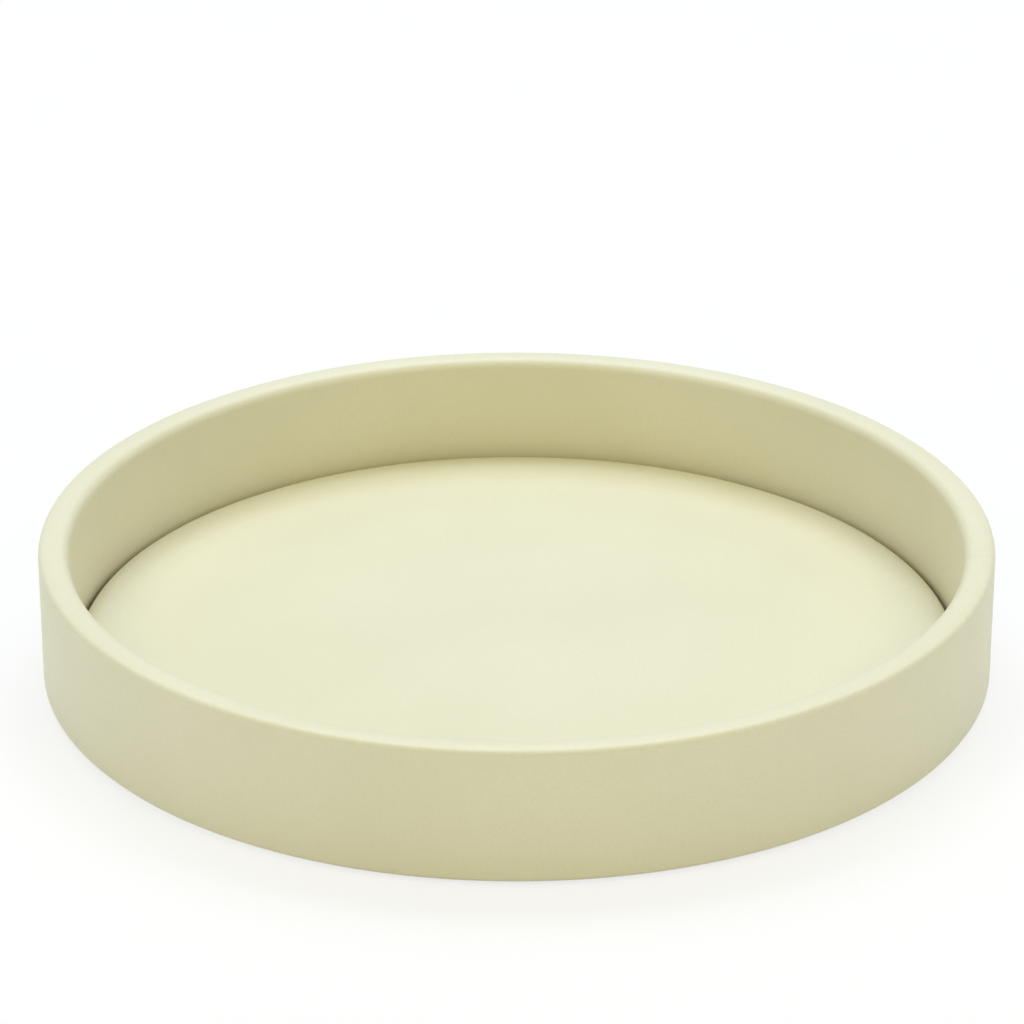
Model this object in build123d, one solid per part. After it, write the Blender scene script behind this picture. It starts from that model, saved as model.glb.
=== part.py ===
from build123d import *

import math
import os

# Round coin tray: a wooden hoop and base covered in leatherette, with a padded floor pressed in.
# Millimetres. The tray rests on Z = 0, its axis is +Z, and the front is the -Y side.

# Overall
tray_diameter = 180.0
tray_height = 26.4
leatherette = 0.7
edge_round = 1.1
inner_round = 1.9

# Wall hoop, its edges eased with small bevels, and the base board in the rebate at its foot
hoop_thickness = 4.3
hoop_bevel = 0.4
inner_bevel = 0.7
rebate_width = 2.2
board_thickness = 1.5
board_clearance = 0.1

# Underside: the wrap's hem, the card that levels it, and the felt over both
hem_width = 10.0
infill_clearance = 0.3
felt_thickness = 0.7
felt_inset = 3.0

# Floor pad: card and foam inside a leatherette cover. From its level middle the foam rolls down
# gently, then faster over a shoulder that ends at a slope, and last round a small edge.
pad_clearance = 0.9
card_thickness = 0.5
foam_thickness = 1.7
roll_width = 12.0
roll_drop = 0.3
shoulder_round = 4.3
shoulder_slope = 35.0
pad_hem_width = 11.0

# Notches that let a hem lie flat on a curve
notch_count = 36
notch_mouth = 1.4
notch_margin = 3.0

# Butt seam where the ends of the wall wrap meet, an angle from +X
seam_angle = -7.0
seam_gap = 0.2

# How far a cut runs past what it cuts
overrun = 1.0

# Radii, from the outside in
tray_radius = tray_diameter / 2
hoop_radius = tray_radius - leatherette
hoop_bore_radius = hoop_radius - hoop_thickness
rebate_radius = hoop_bore_radius + rebate_width
inside_radius = hoop_bore_radius - leatherette
pad_radius = inside_radius - pad_clearance
core_radius = pad_radius - leatherette
hem_radius = tray_radius - hem_width
pad_hem_radius = pad_radius - pad_hem_width

# Levels, from the table up
board_level = felt_thickness + leatherette
pad_level = board_level + board_thickness
card_level = pad_level + leatherette
foam_level = card_level + card_thickness
core_top = foam_level + foam_thickness
hoop_top = tray_height - leatherette

# The foam's three arcs meet without a kink: the wide roll, the shoulder and the edge
slope = math.radians(shoulder_slope)
roll_angle = 2 * math.atan2(roll_drop, roll_width)
roll_round = roll_width / math.sin(roll_angle)
shoulder_drop = shoulder_round * (math.cos(roll_angle) - math.cos(slope))
edge_drop = foam_thickness - roll_drop - shoulder_drop
core_edge_round = edge_drop / math.cos(slope)
edge_centre_radius = core_radius - core_edge_round
shoulder_centre_radius = edge_centre_radius - (shoulder_round - core_edge_round) * math.sin(slope)
shoulder_centre_level = foam_level - (shoulder_round - core_edge_round) * math.cos(slope)
roll_start = shoulder_centre_radius + shoulder_round * math.sin(roll_angle) - roll_width


def turned(*lines):
    """The solid that a closed outline, drawn as radius and height, makes about the tray's axis."""
    return revolve(Plane.XZ * make_face(Curve() + lines), Axis.Z)


def disc(radius, level, thickness):
    """A flat round sheet that stands on a level."""
    return Pos(0, 0, level) * extrude(Circle(radius), thickness)


def wrapped_wall():
    """The wall with its leatherette on, solid, as far in as the hem's free edge."""
    corners = [
        (inside_radius, pad_level),
        (inside_radius, tray_height),
        (tray_radius, tray_height),
        (tray_radius, felt_thickness),
        (hem_radius, felt_thickness),
        (hem_radius, pad_level),
    ]
    rounds = [0, inner_round, edge_round, edge_round, 0, 0]
    return turned(FilletPolyline(corners, radius=rounds, close=True))


def bare_wall():
    """The same ring without its leatherette: the hoop with the rim of the base board in it."""
    corners = [
        (hoop_bore_radius, pad_level),
        (hoop_bore_radius, hoop_top - inner_bevel),
        (hoop_bore_radius + inner_bevel, hoop_top),
        (hoop_radius - hoop_bevel, hoop_top),
        (hoop_radius, hoop_top - hoop_bevel),
        (hoop_radius, board_level + hoop_bevel),
        (hoop_radius - hoop_bevel, board_level),
        (hem_radius, board_level),
        (hem_radius, pad_level),
    ]
    return turned(Polyline(corners, close=True))


def pad_block(skin):
    """The floor pad, solid, out to a skin of that thickness over its card and foam."""
    turn = math.degrees(roll_angle)
    top = core_top + skin
    foot = card_level - skin
    side = core_radius + skin
    roll_centre = (roll_start, core_top - roll_round)
    shoulder_centre = (shoulder_centre_radius, shoulder_centre_level)
    edge_centre = (edge_centre_radius, foam_level)
    rest = 90 - shoulder_slope
    level_top = Line((0, top), (roll_start, top))
    roll = CenterArc(roll_centre, roll_round + skin, 90, -turn)
    shoulder = CenterArc(shoulder_centre, shoulder_round + skin, 90 - turn, turn - shoulder_slope)
    edge = CenterArc(edge_centre, core_edge_round + skin, rest, -rest)
    underneath = Polyline((side, foam_level), (side, foot), (0, foot), (0, top))
    return turned(level_top, roll, shoulder, edge, underneath)


def hem_notches(mouth_radius, fold_radius, level):
    """A ring of V notches, open at the hem's free edge, that stop short of its fold."""
    tip_radius = fold_radius - notch_margin
    start_radius = mouth_radius - overrun
    half_start = notch_mouth / 2 * (tip_radius - start_radius) / (tip_radius - mouth_radius)
    corners = [
        (start_radius, -half_start),
        (tip_radius, 0),
        (start_radius, half_start),
    ]
    notch = make_face(Polyline(corners, close=True))
    prism = Pos(0, 0, level - overrun) * extrude(notch, leatherette + overrun)
    return [Rot(0, 0, turn * 360 / notch_count) * prism for turn in range(notch_count)]


def seam_slot():
    """The thin radial gap between the two ends of the wall wrap."""
    from_axis = (Align.MIN, Align.CENTER, Align.MIN)
    slot = Box(tray_radius + overrun, seam_gap, tray_height + overrun, align=from_axis)
    return Rot(0, 0, seam_angle) * slot


def wall_hoop():
    """A bent wooden ring with bevelled edges, and a rebate in its foot that seats the base board."""
    return bare_wall() - disc(rebate_radius, board_level, board_thickness)


def base_board():
    """The board disc in the hoop's rebate."""
    return disc(rebate_radius - board_clearance, board_level, board_thickness)


def wall_wrap():
    """One strip, glued from the base board up the inside, over the rim, down and under the foot."""
    strip = wrapped_wall() - bare_wall()
    return strip - hem_notches(hem_radius, hoop_radius, felt_thickness) - seam_slot()


def hem_infill():
    """Card as thick as the hem, laid inside it so that the underside is level."""
    return disc(hem_radius - infill_clearance, felt_thickness, leatherette)


def underside_cover():
    """The felt disc that the tray rests on."""
    return disc(tray_radius - felt_inset, 0, felt_thickness)


def floor_card():
    """The stiff disc of the floor pad."""
    return disc(core_radius, card_level, card_thickness)


def floor_foam():
    """Thin foam on the card, pressed down towards its edge by the stretched cover."""
    return pad_block(0) - floor_card()


def floor_cover():
    """The leatherette disc over the foam, turned round the card's edge and under it."""
    cover = pad_block(leatherette) - pad_block(0)
    cover -= disc(pad_hem_radius, pad_level, leatherette)
    return cover - hem_notches(pad_hem_radius, core_radius, pad_level)


pieces = [
    wall_hoop,
    base_board,
    wall_wrap,
    hem_infill,
    underside_cover,
    floor_card,
    floor_foam,
    floor_cover,
]

os.makedirs("parts", exist_ok=True)
for piece in pieces:
    export_step(piece(), os.path.join("parts", piece.__name__ + ".step"))
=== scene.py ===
import math

import bmesh
import bpy
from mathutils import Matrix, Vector, noise


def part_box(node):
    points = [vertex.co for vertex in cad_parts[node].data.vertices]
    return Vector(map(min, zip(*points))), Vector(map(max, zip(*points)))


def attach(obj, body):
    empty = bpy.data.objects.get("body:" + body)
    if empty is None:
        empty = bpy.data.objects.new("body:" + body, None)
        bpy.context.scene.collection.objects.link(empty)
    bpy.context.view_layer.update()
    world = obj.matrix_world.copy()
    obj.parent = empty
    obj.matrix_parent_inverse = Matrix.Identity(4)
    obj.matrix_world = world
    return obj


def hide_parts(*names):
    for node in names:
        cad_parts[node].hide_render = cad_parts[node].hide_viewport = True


# The looks of the round coin tray: the leatherette wall, the padded floor and the felt underneath.
# Metres. The tray rests on Z = 0, its axis is +Z, and the front is the -Y side.

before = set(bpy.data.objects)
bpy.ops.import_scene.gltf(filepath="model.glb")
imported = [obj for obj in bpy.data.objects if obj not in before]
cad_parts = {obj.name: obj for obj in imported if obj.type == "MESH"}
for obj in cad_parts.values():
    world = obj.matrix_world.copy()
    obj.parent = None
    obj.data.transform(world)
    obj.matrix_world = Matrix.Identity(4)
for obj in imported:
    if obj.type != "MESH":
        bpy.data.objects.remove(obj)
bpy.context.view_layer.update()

MM = 0.001

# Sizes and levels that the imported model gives
wrap_low, wrap_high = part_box("wall_wrap")
pad_low, pad_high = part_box("floor_cover")
felt_low, felt_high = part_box("underside_cover")
hoop_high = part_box("wall_hoop")[1]
board_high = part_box("base_board")[1]
infill_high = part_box("hem_infill")[1]
card_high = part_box("floor_card")[1]
foam_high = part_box("floor_foam")[1]

tray_radius = wrap_high.x
hoop_radius = hoop_high.x
pad_radius = pad_high.x
core_radius = card_high.x
felt_radius = felt_high.x
rim_level = wrap_high.z
foot_level = wrap_low.z
board_top = board_high.z
leatherette = tray_radius - hoop_radius

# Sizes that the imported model's boxes don't give. The slope is in degrees.
pad_clearance = 0.9 * MM
infill_clearance = 0.3 * MM
pad_hem_width = 11 * MM
notch_margin = 3 * MM
notch_mouth = 1.4 * MM
edge_round = 1.1 * MM
inner_round = 1.9 * MM
fold_round = 0.9 * MM
roll_width = 12 * MM
roll_drop = 0.3 * MM
shoulder_round = 4.3 * MM
shoulder_slope = 35
glue_line = 0.02 * MM

inside_radius = pad_radius + pad_clearance
hem_radius = infill_high.x + infill_clearance
pad_hem_radius = pad_radius - pad_hem_width

# The rim's top is slightly crowned: how far it leans, in degrees, where its rounded edges begin
crown_tilt = 12

# The butt seam, at an angle in degrees from +X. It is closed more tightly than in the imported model,
# and its two ends are pressed down within a short reach.
seam_angle = -7
seam_gap = 0.06 * MM
seam_dip = 0.10 * MM
seam_reach = 0.5 * MM

# Unevenness of hand-laid leatherette: size and depth of its long and short swells, and where each
# piece lies in that pattern
long_swell = 34 * MM
long_depth = 0.05 * MM
short_swell = 7 * MM
short_depth = 0.012 * MM
wall_seed = 3.1
pad_seed = 8.7

# How finely the round pieces are divided: columns between two cuts, closer together at the seam
notch_count = 36
columns_between = 12
seam_grading = 2.2

# The tint of the sky and of most lamps, as a share of each colour
daylight = (0.81, 0.89, 1.0)


# Rows of a skin: (radius, level, outward part, upward part of its normal)

def straight(start, end, normal, count):
    """Rows from start up to, but not with, end."""
    steps = [step / count for step in range(count)]
    return [
        (start[0] + (end[0] - start[0]) * s, start[1] + (end[1] - start[1]) * s, *normal)
        for s in steps
    ]


def bend(centre, radius, first, last, count):
    """Rows round an arc, up to but not with its last angle. Their normals leave its centre."""
    rows = []
    for step in range(count):
        turn = math.radians(first + (last - first) * step / count)
        out, up = math.cos(turn), math.sin(turn)
        rows.append((centre[0] + radius * out, centre[1] + radius * up, out, up))
    return rows


def around(radius, level, bearing):
    """The point at a radius and a level, in the direction of a bearing."""
    return Vector((radius * math.cos(bearing), radius * math.sin(bearing), level))


def swell(point, seed):
    """How far the surface stands out of true at a point."""
    shift = Vector((seed, seed, seed))
    long_part = noise.noise(point / long_swell + shift) * long_depth
    short_part = noise.noise(point / short_swell + shift) * short_depth
    return long_part + short_part


def seam_press(radius, bearing):
    """How far the wall's skin is pressed in at a place near its butt seam."""
    from_seam = (bearing - math.radians(seam_angle) + math.pi) % math.tau - math.pi
    away = radius * from_seam
    return seam_dip * math.exp(-((away / seam_reach) ** 2))


def finish_mesh(maker, name):
    """The object that holds a built mesh, with its normals outwards and shaded smooth."""
    bmesh.ops.recalc_face_normals(maker, faces=maker.faces)
    mesh = bpy.data.meshes.new(name)
    maker.to_mesh(mesh)
    maker.free()
    mesh.shade_smooth()
    piece = bpy.data.objects.new(name, mesh)
    bpy.context.scene.collection.objects.link(piece)
    return piece


def fill_middle(maker, ring, radius, level, lift):
    """Closes a ring of vertices with a square grid bent to the circle, raised by a lift."""
    count = len(ring) // 4
    half = count // 2
    lines = [math.sqrt(2) * math.sin(math.radians(90 * i / count - 45)) for i in range(count + 1)]
    grid = {}
    for step in range(count):
        grid[count, step] = ring[step - half]
        grid[count - step, count] = ring[step + count - half]
        grid[0, count - step] = ring[step + 2 * count - half]
        grid[step, 0] = ring[step + 3 * count - half]
    for i in range(1, count):
        for j in range(1, count):
            across = lines[i] * math.sqrt(1 - lines[j] ** 2 / 2)
            along = lines[j] * math.sqrt(1 - lines[i] ** 2 / 2)
            point = Vector((radius * across, radius * along, level))
            grid[i, j] = maker.verts.new(point + Vector((0, 0, lift(point))))
    for i in range(count):
        for j in range(count):
            maker.faces.new([grid[i, j], grid[i + 1, j], grid[i + 1, j + 1], grid[i, j + 1]])


def column_bearing(row, start_cut, end_cut, column):
    """The direction of a column at a row, between the gaps of two neighbouring cuts."""
    angle, start_grading, start_gap = start_cut
    end_angle, end_grading, end_gap = end_cut
    share = (column / columns_between) ** start_grading
    share = 1 - (1 - share) ** end_grading
    turn = (end_angle - angle) % 360
    first = math.radians(angle) + start_gap(row) / row[0]
    last = math.radians(angle + turn) - end_gap(row) / row[0]
    return first + (last - first) * share


class Skin:
    """A leatherette skin turned about the axis, with an outer and an inner side.

    Each cut is (angle, grading, gap). Its gap gives half the cut's width for a row, and the two
    sides of the cut are joined where that is nothing. Between two cuts lies a block of columns.
    Only a skin that isn't capped in its middle has a butt seam."""

    def __init__(self, rows, cuts, seed, capped):
        self.maker = bmesh.new()
        self.rows = rows
        self.cuts = cuts
        self.seed = seed
        self.capped = capped
        self.last_row = len(rows) - 1
        self.corners = {}

    def after(self, block):
        """The next block round the skin."""
        return (block + 1) % len(self.cuts)

    def gap(self, row, block):
        """Half the width of the cut at the end of a block."""
        return self.cuts[self.after(block)][2](self.rows[row])

    def lift(self, side, point):
        """How far a side stands out from the rows: its swells, or inwards the skin's depth."""
        if side == "outer":
            return swell(point, self.seed)
        return glue_line - leatherette

    def spot(self, side, row, block, column):
        """The vertex of a side, at a row and a column of a block."""
        if column == columns_between and self.gap(row, block) == 0:
            return self.spot(side, row, self.after(block), 0)
        key = (side, row, block, column)
        if key not in self.corners:
            radius, level, out, up = self.rows[row]
            start_cut, end_cut = self.cuts[block], self.cuts[self.after(block)]
            bearing = column_bearing(self.rows[row], start_cut, end_cut, column)
            point = around(radius, level, bearing)
            normal = around(out, up, bearing)
            lift = self.lift(side, point)
            if side == "outer" and not self.capped:
                lift -= seam_press(radius, bearing)
            self.corners[key] = self.maker.verts.new(point + normal * lift)
        return self.corners[key]

    def patch(self, *spots):
        """A face between vertices, each given by side, row, block and column."""
        self.maker.faces.new([self.spot(*spot) for spot in spots])

    def cover(self, side, row, block):
        """A side's faces between a row and the next, in one block."""
        for column in range(columns_between):
            self.patch(
                (side, row, block, column),
                (side, row, block, column + 1),
                (side, row + 1, block, column + 1),
                (side, row + 1, block, column),
            )

    def close_cut(self, row, block):
        """The skin's two cut faces at the end of a block, between a row and the next."""
        for owner, column in ((block, columns_between), (self.after(block), 0)):
            self.patch(
                ("outer", row, owner, column),
                ("inner", row, owner, column),
                ("inner", row + 1, owner, column),
                ("outer", row + 1, owner, column),
            )

    def close_edge(self, row, block):
        """The skin's free edge along a row, in one block."""
        for column in range(columns_between):
            self.patch(
                ("outer", row, block, column),
                ("outer", row, block, column + 1),
                ("inner", row, block, column + 1),
                ("inner", row, block, column),
            )

    def close_middle(self, side):
        """A side's middle, inside the last row."""
        radius, level = self.rows[self.last_row][:2]
        ring = [
            self.spot(side, self.last_row, block, column)
            for block in range(len(self.cuts))
            for column in range(columns_between)
        ]
        fill_middle(self.maker, ring, radius, level, lambda point: self.lift(side, point))

    def build(self, name):
        """The object that holds the whole skin."""
        edges = [0] if self.capped else [0, self.last_row]
        for block in range(len(self.cuts)):
            for row in range(self.last_row):
                self.cover("outer", row, block)
                self.cover("inner", row, block)
                if self.gap(row, block) > 0:
                    self.close_cut(row, block)
            for row in edges:
                self.close_edge(row, block)
        if self.capped:
            self.close_middle("outer")
            self.close_middle("inner")
        return finish_mesh(self.maker, name)


def sheet_disc(name, rows):
    """A closed round sheet, whose rows run from its underside round its edge to its top."""
    maker = bmesh.new()
    count = notch_count * columns_between
    rings = []
    for row in rows:
        radius, level = row[:2]
        bearings = [math.tau * step / count for step in range(count)]
        rings.append([maker.verts.new(around(radius, level, bearing)) for bearing in bearings])
    for low, high in zip(rings, rings[1:]):
        for step in range(count):
            after = (step + 1) % count
            maker.faces.new([low[step], low[after], high[after], high[step]])
    for end in (0, -1):
        radius, level = rows[end][:2]
        fill_middle(maker, rings[end], radius, level, lambda point: 0)
    return finish_mesh(maker, name)


# The pieces

def hem_gap(mouth_radius, tip_radius, hem_level):
    """Half the width of a V notch at a row: it opens from its tip to the hem's free edge."""

    def gap(row):
        radius, level = row[0], row[1]
        if radius >= tip_radius or level > hem_level:
            return 0
        return notch_mouth / 2 * (tip_radius - radius) / (tip_radius - mouth_radius)

    return gap


def notch_cuts(gap):
    """The cuts of a ring of notches, evenly round a hem."""
    return [(360 * turn / notch_count, 1, gap) for turn in range(notch_count)]


def leather_wall():
    """One strip from its hem under the foot, up the outside, over the rim and down the inside."""
    tip_radius = hoop_radius - notch_margin
    outer_start = tray_radius - edge_round
    inner_start = inside_radius + inner_round
    foot_centre = (outer_start, foot_level + edge_round)

    # The crown and the rim's two rounds meet without a kink
    tilt = math.radians(crown_tilt)
    crown_round = ((outer_start - inner_start) / math.sin(tilt) + edge_round + inner_round) / 2
    crown_radius = outer_start - (crown_round - edge_round) * math.sin(tilt)
    crown_level = rim_level - crown_round
    crown_centre = (crown_radius, crown_level)
    outer_centre = (outer_start, crown_level + (crown_round - edge_round) * math.cos(tilt))
    inner_centre = (inner_start, crown_level + (crown_round - inner_round) * math.cos(tilt))

    hem_rows, fold_rows, wall_rows = 4, 3, 14
    foot_bend, outer_bend, crown_bend, inner_bend = 7, 8, 6, 10
    rows = straight((hem_radius, foot_level), (tip_radius, foot_level), (0, -1), hem_rows)
    rows += straight((tip_radius, foot_level), (outer_start, foot_level), (0, -1), fold_rows)
    rows += bend(foot_centre, edge_round, -90, 0, foot_bend)
    wall_foot, wall_top = foot_centre[1], outer_centre[1]
    rows += straight((tray_radius, wall_foot), (tray_radius, wall_top), (1, 0), wall_rows)
    rows += bend(outer_centre, edge_round, 0, 90 - crown_tilt, outer_bend)
    rows += bend(crown_centre, crown_round, 90 - crown_tilt, 90 + crown_tilt, crown_bend)
    rows += bend(inner_centre, inner_round, 90 + crown_tilt, 180, inner_bend)
    inside_top = inner_centre[1]
    rows += straight((inside_radius, inside_top), (inside_radius, board_top), (-1, 0), wall_rows)
    rows.append((inside_radius, board_top, -1, 0))
    cuts = notch_cuts(hem_gap(hem_radius, tip_radius, foot_level))
    cuts.append((seam_angle % 360, seam_grading, lambda row: seam_gap / 2))
    cuts.sort(key=lambda cut: cut[0])
    piece = Skin(rows, cuts, wall_seed, capped=False).build("leather_wall")
    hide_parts("wall_wrap")
    return piece


def pad_top_rows(skin_thickness, steps):
    """The pad's edge from its side to its level middle: a small arc, a shoulder, a wide roll."""
    foam_level = card_high.z
    core_top = foam_high.z
    turn = 2 * math.atan2(roll_drop, roll_width)
    slope = math.radians(shoulder_slope)
    roll_round = roll_width / math.sin(turn)
    shoulder_drop = shoulder_round * (math.cos(turn) - math.cos(slope))
    edge_drop = core_top - foam_level - roll_drop - shoulder_drop
    edge = edge_drop / math.cos(slope)
    edge_centre = (core_radius - edge, foam_level)
    reach = shoulder_round - edge
    shoulder_radius = edge_centre[0] - reach * math.sin(slope)
    shoulder_centre = (shoulder_radius, foam_level - reach * math.cos(slope))
    roll_start = shoulder_radius + shoulder_round * math.sin(turn) - roll_width
    roll_centre = (roll_start, core_top - roll_round)
    crest = 90 - math.degrees(turn)
    lean = 90 - shoulder_slope
    rows = bend(edge_centre, edge + skin_thickness, 0, lean, steps)
    rows += bend(shoulder_centre, shoulder_round + skin_thickness, lean, crest, steps)
    rows += bend(roll_centre, roll_round + skin_thickness, crest, 90, steps)
    rows.append((roll_start, core_top + skin_thickness, 0, 1))
    return rows


def padded_floor():
    """The leatherette disc over the foam, turned round the card's edge and notched underneath."""
    tip_radius = core_radius - notch_margin
    foot = pad_low.z
    fold_centre = (pad_radius - fold_round, foot + fold_round)
    hem_rows, fold_rows, fold_bend, side_rows, top_steps = 4, 3, 6, 2, 8
    rows = straight((pad_hem_radius, foot), (tip_radius, foot), (0, -1), hem_rows)
    rows += straight((tip_radius, foot), (fold_centre[0], foot), (0, -1), fold_rows)
    rows += bend(fold_centre, fold_round, -90, 0, fold_bend)
    rows += straight((pad_radius, fold_centre[1]), (pad_radius, card_high.z), (1, 0), side_rows)
    rows += pad_top_rows(leatherette, top_steps)
    cuts = notch_cuts(hem_gap(pad_hem_radius, tip_radius, foot))
    piece = Skin(rows, cuts, pad_seed, capped=True).build("padded_floor")
    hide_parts("floor_cover")
    return piece


def foam_sheet():
    """The foam on the card, thinner towards its edge where the cover presses it down."""
    card_top = card_high.z
    ring = core_radius - roll_width
    under_rows, top_steps = 4, 6
    rows = straight((ring, card_top), (core_radius, card_top), (0, -1), under_rows)
    rows += pad_top_rows(0, top_steps)
    piece = sheet_disc("foam_sheet", rows)
    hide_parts("floor_foam")
    return piece


def felt_base():
    """The felt disc that the tray rests on, cut with slightly soft edges."""
    soft_edge = 0.2 * MM
    ring = felt_radius - roll_width
    edge = felt_radius - soft_edge
    low, high = felt_low.z, felt_high.z
    face_rows, edge_bend = 6, 3
    rows = straight((ring, low), (edge, low), (0, -1), face_rows)
    rows += bend((edge, low + soft_edge), soft_edge, -90, 0, edge_bend)
    rows += bend((edge, high - soft_edge), soft_edge, 0, 90, edge_bend)
    rows += straight((edge, high), (ring, high), (0, 1), face_rows)
    piece = sheet_disc("felt_base", rows)
    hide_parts("underside_cover")
    return piece


# Materials

class Paint:
    """A node material under way: a principled shader, and short ways to add what feeds it."""

    def __init__(self, name):
        self.material = bpy.data.materials.new(name)
        self.material.use_nodes = True
        self.nodes = self.material.node_tree.nodes
        self.links = self.material.node_tree.links
        self.shader = self.nodes["Principled BSDF"]
        self.place = self.nodes.new("ShaderNodeTexCoord").outputs["Object"]

    def noise(self, size, detail=2.0, stretch=(1, 1, 1)):
        """Soft noise whose features are about that size."""
        mapping = self.nodes.new("ShaderNodeMapping")
        mapping.inputs["Scale"].default_value = stretch
        self.links.new(self.place, mapping.inputs["Vector"])
        node = self.nodes.new("ShaderNodeTexNoise")
        node.inputs["Scale"].default_value = 1 / size
        node.inputs["Detail"].default_value = detail
        self.links.new(mapping.outputs["Vector"], node.inputs["Vector"])
        return node.outputs["Fac"]

    def cells(self, size, feature="SMOOTH_F1"):
        """How far a place lies from the middle of its cell, for cells of about that size."""
        node = self.nodes.new("ShaderNodeTexVoronoi")
        node.feature = feature
        node.inputs["Scale"].default_value = 1 / size
        self.links.new(self.place, node.inputs["Vector"])
        return node.outputs["Distance"]

    def between(self, value, low, high, low_result, high_result):
        """A value spread from one range to another, and held at its ends."""
        node = self.nodes.new("ShaderNodeMapRange")
        node.inputs["From Min"].default_value = low
        node.inputs["From Max"].default_value = high
        node.inputs["To Min"].default_value = low_result
        node.inputs["To Max"].default_value = high_result
        self.links.new(value, node.inputs["Value"])
        return node.outputs["Result"]

    def combine(self, first, second, operation):
        """Two values added, multiplied and so on."""
        node = self.nodes.new("ShaderNodeMath")
        node.operation = operation
        self.links.new(first, node.inputs[0])
        self.links.new(second, node.inputs[1])
        return node.outputs[0]

    def tint(self, amount, first, second):
        """One colour turning into another with an amount from 0 to 1."""
        first_colour, second_colour, mixed_colour = 6, 7, 2
        node = self.nodes.new("ShaderNodeMix")
        node.data_type = "RGBA"
        self.links.new(amount, node.inputs[0])
        for socket, colour in ((first_colour, first), (second_colour, second)):
            if isinstance(colour, tuple):
                node.inputs[socket].default_value = (*colour, 1)
            else:
                self.links.new(colour, node.inputs[socket])
        return node.outputs[mixed_colour]

    def colour(self, colour):
        """Sets the shader's colour to one that varies."""
        self.links.new(colour, self.shader.inputs["Base Color"])

    def roughness(self, value):
        """Sets the shader's roughness to one that varies."""
        self.links.new(value, self.shader.inputs["Roughness"])

    def bump(self, height, depth):
        """Turns a height of 0 to 1 into small relief of that depth."""
        node = self.nodes.new("ShaderNodeBump")
        node.inputs["Distance"].default_value = depth
        self.links.new(height, node.inputs["Height"])
        self.links.new(node.outputs["Normal"], self.shader.inputs["Normal"])


def leatherette_paint():
    """Cream leatherette: a very fine pebble grain, soft sheen, and slow drifts of tone."""
    paint = Paint("cream_leatherette")
    drift_size = 38 * MM
    rub_size = 2.5 * MM
    grain_size = 0.42 * MM
    fine_size = 0.12 * MM
    grain_depth = 0.006 * MM
    tone = paint.between(paint.noise(drift_size, 3), 0.35, 0.65, 0, 1)
    cream = paint.tint(tone, (0.727, 0.687, 0.497), (0.753, 0.713, 0.523))
    pebble = paint.between(paint.cells(grain_size), 0.1, 0.6, 1, 0)
    # Darker between the pebbles: painted shade in the grain's valleys
    valley_shade = paint.between(pebble, 0, 0.35, 0.35, 0)
    cream = paint.tint(valley_shade, cream, (0.70, 0.655, 0.46))
    paint.colour(cream)
    paint.roughness(paint.between(paint.noise(rub_size, 3), 0.3, 0.7, 0.46, 0.53))
    fine = paint.between(paint.noise(fine_size, 2), 0, 1, 0, 0.3)
    paint.bump(paint.combine(pebble, fine, "ADD"), grain_depth)
    paint.shader.inputs["Sheen Weight"].default_value = 0.05
    paint.shader.inputs["Sheen Roughness"].default_value = 0.5
    paint.shader.inputs["Specular IOR Level"].default_value = 0.5
    return paint.material


def felt_paint():
    """Pressed wool felt: tangled short fibres, slightly clotted, and a dry, matt surface."""
    paint = Paint("beige_felt")
    fibre_length = 2.0 * MM
    fibre_depth = 0.15 * MM
    clot_size = 6 * MM
    fibre = paint.combine(
        paint.noise(fibre_length, 5, (1, 6, 1)),
        paint.noise(fibre_length, 5, (6, 1, 1)),
        "MULTIPLY",
    )
    amount = paint.between(fibre, 0.14, 0.38, 0, 1)
    clot = paint.between(paint.noise(clot_size, 3), 0.3, 0.7, 0, 1)
    dark = paint.tint(clot, (0.46, 0.42, 0.31), (0.53, 0.49, 0.37))
    pale = paint.tint(clot, (0.72, 0.68, 0.54), (0.78, 0.74, 0.60))
    paint.colour(paint.tint(amount, dark, pale))
    paint.roughness(paint.between(fibre, 0.1, 0.5, 0.98, 0.86))
    paint.bump(fibre, fibre_depth)
    paint.shader.inputs["Sheen Weight"].default_value = 0.35
    paint.shader.inputs["Sheen Roughness"].default_value = 0.6
    return paint.material


def wood_paint():
    """Pale bent wood with its grain along the hoop's height."""
    paint = Paint("hoop_wood")
    grain_size = 1.2 * MM
    grain_depth = 0.05 * MM
    grain = paint.noise(grain_size, 5, (1, 1, 0.1))
    amount = paint.between(grain, 0.3, 0.7, 0, 1)
    paint.colour(paint.tint(amount, (0.50, 0.35, 0.20), (0.68, 0.52, 0.33)))
    paint.roughness(paint.between(grain, 0.3, 0.7, 0.55, 0.7))
    paint.bump(grain, grain_depth)
    return paint.material


def board_paint():
    """Greyboard: short grey and tan fibres pressed flat."""
    paint = Paint("greyboard")
    fibre_size = 0.6 * MM
    fibre_depth = 0.03 * MM
    fibre = paint.noise(fibre_size, 6)
    amount = paint.between(fibre, 0.35, 0.65, 0, 1)
    paint.colour(paint.tint(amount, (0.30, 0.28, 0.25), (0.46, 0.44, 0.40)))
    paint.roughness(paint.between(fibre, 0.3, 0.7, 0.8, 0.9))
    paint.bump(fibre, fibre_depth)
    return paint.material


def foam_paint():
    """Open-celled foam, slightly yellowed."""
    paint = Paint("pad_foam")
    cell_size = 0.5 * MM
    cell_depth = 0.2 * MM
    cell = paint.cells(cell_size, "F1")
    # Darker towards each cell's sunken middle: painted shade in the open cells
    amount = paint.between(cell, 0, 0.6, 0, 1)
    paint.colour(paint.tint(amount, (0.42, 0.40, 0.33), (0.80, 0.78, 0.68)))
    paint.roughness(paint.between(cell, 0, 0.6, 0.95, 0.85))
    paint.bump(cell, cell_depth)
    return paint.material


def dress(piece, material):
    """Gives a piece one material in place of what it has."""
    piece.data.materials.clear()
    piece.data.materials.append(material)


# Studio

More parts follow.
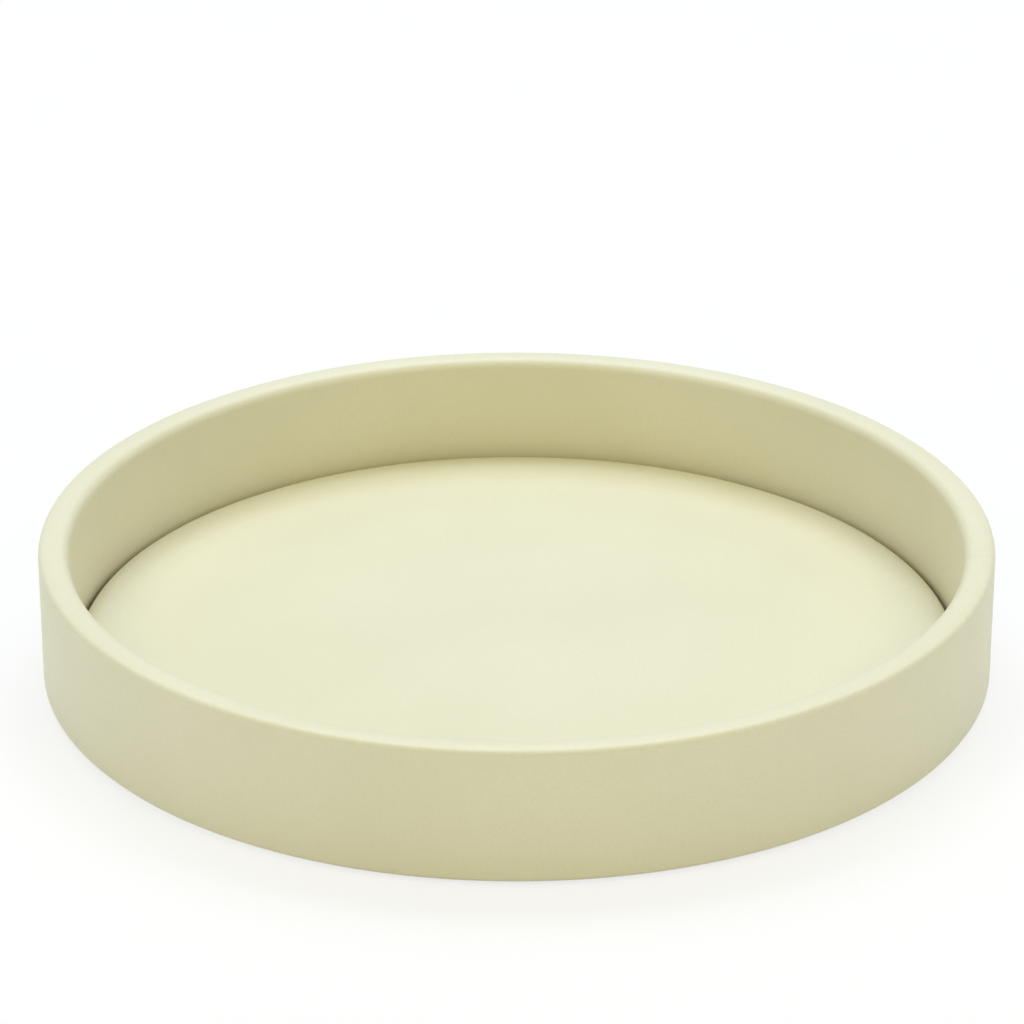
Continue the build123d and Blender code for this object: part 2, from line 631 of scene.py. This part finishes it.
def seen_directly(nodes, links):
    """1 for what the camera sees, also in gloss or through glass, and 0 for light on a surface."""
    path = nodes.new("ShaderNodeLightPath")
    seen = path.outputs["Is Camera Ray"]
    for other in ("Is Glossy Ray", "Is Transmission Ray"):
        either = nodes.new("ShaderNodeMath")
        either.operation = "MAXIMUM"
        links.new(seen, either.inputs[0])
        links.new(path.outputs[other], either.inputs[1])
        seen = either.outputs[0]
    return seen


def world_light(strength):
    """An even pale sky that lights the tray, and plain white wherever it is seen."""
    world = bpy.data.worlds.new("studio")
    world.use_nodes = True
    bpy.context.scene.world = world
    nodes, links = world.node_tree.nodes, world.node_tree.links
    sky = nodes["Background"]
    sky.inputs["Color"].default_value = (*daylight, 1)
    sky.inputs["Strength"].default_value = strength
    white = nodes.new("ShaderNodeBackground")
    white.inputs["Color"].default_value = (1, 1, 1, 1)
    white.inputs["Strength"].default_value = 1
    mix = nodes.new("ShaderNodeMixShader")
    links.new(seen_directly(nodes, links), mix.inputs[0])
    links.new(sky.outputs[0], mix.inputs[1])
    links.new(white.outputs[0], mix.inputs[2])
    links.new(mix.outputs[0], nodes["World Output"].inputs["Surface"])


def soft_lamp(name, azimuth, elevation, distance, width, height, colour, power):
    """A soft rectangular lamp that faces the tray. Azimuth 0 is in front of it, 90 on its right."""
    lamp = bpy.data.lights.new(name, "AREA")
    lamp.shape = "RECTANGLE"
    lamp.size = width
    lamp.size_y = height
    lamp.color = colour
    lamp.energy = power
    holder = bpy.data.objects.new(name, lamp)
    bpy.context.scene.collection.objects.link(holder)
    turn, tilt = math.radians(azimuth), math.radians(elevation)
    across, along = math.sin(turn) * math.cos(tilt), -math.cos(turn) * math.cos(tilt)
    towards = Vector((across, along, math.sin(tilt)))
    holder.location = towards * distance
    holder.rotation_euler = towards.to_track_quat("Z", "Y").to_euler()
    holder.visible_camera = False


def studio_lamps():
    """Softboxes high behind the tray, warm ones over its front corners, and low fills round it."""
    front, right, back, left = 0, 90, 180, 270
    near, middle, far = 1.3, 1.4, 1.5
    cool = (0.60, 0.75, 1.0)
    warm = (1.0, 0.87, 0.34)
    soft_lamp("back_softbox", back, 66, near, 0.9, 0.4, daylight, 5.8)
    soft_lamp("back_strip", back, 50, middle, 0.5, 0.3, cool, 3.7)
    soft_lamp("front_low", front, 17, far, 1.2, 0.45, daylight, 1.1)
    soft_lamp("left_low", left, 18, far, 0.9, 0.5, cool, 2.8)
    soft_lamp("right_low", right, 18, far, 0.9, 0.5, cool, 2.2)
    for side in (-1, 1):
        soft_lamp("back_corner", back + 45 * side, 60, near, 0.6, 0.5, daylight, 2.3)
        soft_lamp("front_corner", front + 45 * side, 45, near, 0.6, 0.5, warm, 3.4)
        soft_lamp("front_corner_low", front + 50 * side, 17, far, 0.7, 0.45, daylight, 1.3)


def pale_floor():
    """The table: a wide plain sheet that keeps the tray's shadow and turns white away from it."""
    reach = 6
    shadow_reach = 0.15
    white_reach = 0.6
    whitening = 0.75
    speck_size = 60 * MM
    squares = 8
    maker = bmesh.new()
    bmesh.ops.create_grid(maker, x_segments=squares, y_segments=squares, size=reach)
    floor = finish_mesh(maker, "table")
    paint = Paint("pale_table")
    speck = paint.between(paint.noise(speck_size), 0.3, 0.7, 0, 1)
    paint.colour(paint.tint(speck, (0.93, 0.93, 0.92), (0.95, 0.95, 0.94)))
    paint.shader.inputs["Roughness"].default_value = 0.9
    paint.shader.inputs["Specular IOR Level"].default_value = 0.1
    nodes, links = paint.nodes, paint.links
    white = nodes.new("ShaderNodeEmission")
    mix = nodes.new("ShaderNodeMixShader")
    length = nodes.new("ShaderNodeVectorMath")
    length.operation = "LENGTH"
    links.new(paint.place, length.inputs[0])
    share = paint.between(length.outputs["Value"], shadow_reach, white_reach, whitening, 1)
    seen_share = paint.combine(share, seen_directly(nodes, links), "MULTIPLY")
    links.new(seen_share, mix.inputs[0])
    links.new(paint.shader.outputs[0], mix.inputs[1])
    links.new(white.outputs[0], mix.inputs[2])
    links.new(mix.outputs[0], nodes["Material Output"].inputs["Surface"])
    dress(floor, paint.material)


def photo_camera():
    """The camera where the photograph was taken from: in front, above, and a long way back."""
    elevation = math.radians(24.65)
    distance = 832.5 * MM
    camera = bpy.data.objects.new("photo_camera", bpy.data.cameras.new("photo_camera"))
    bpy.context.scene.collection.objects.link(camera)
    camera.data.sensor_width = 36
    camera.data.lens = 155
    camera.data.shift_x = -0.0046
    camera.data.shift_y = 0.0188
    camera.data.clip_start = 10 * MM
    camera.data.clip_end = 100
    back = Vector((0, -math.cos(elevation), math.sin(elevation)))
    camera.location = Vector((0, 0, rim_level)) + back * distance
    camera.rotation_euler = back.to_track_quat("Z", "Y").to_euler()
    bpy.context.scene.camera = camera


leather = leatherette_paint()
felt = felt_paint()
foam = foam_paint()
board = board_paint()

for make, material, slot_name in (
    (leather_wall, leather, "leatherette"),
    (padded_floor, leather, "leatherette"),
    (foam_sheet, foam, "foam"),
    (felt_base, felt, "felt"),
):
    new_piece = make()
    dress(new_piece, material)
    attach(new_piece, "root")

dress(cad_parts["wall_hoop"], wood_paint())
for node_name in ("base_board", "hem_infill", "floor_card"):
    dress(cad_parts[node_name], board)

world_light(strength=0.23)
studio_lamps()
pale_floor()
photo_camera()
bpy.context.scene.view_settings.view_transform = "Standard"
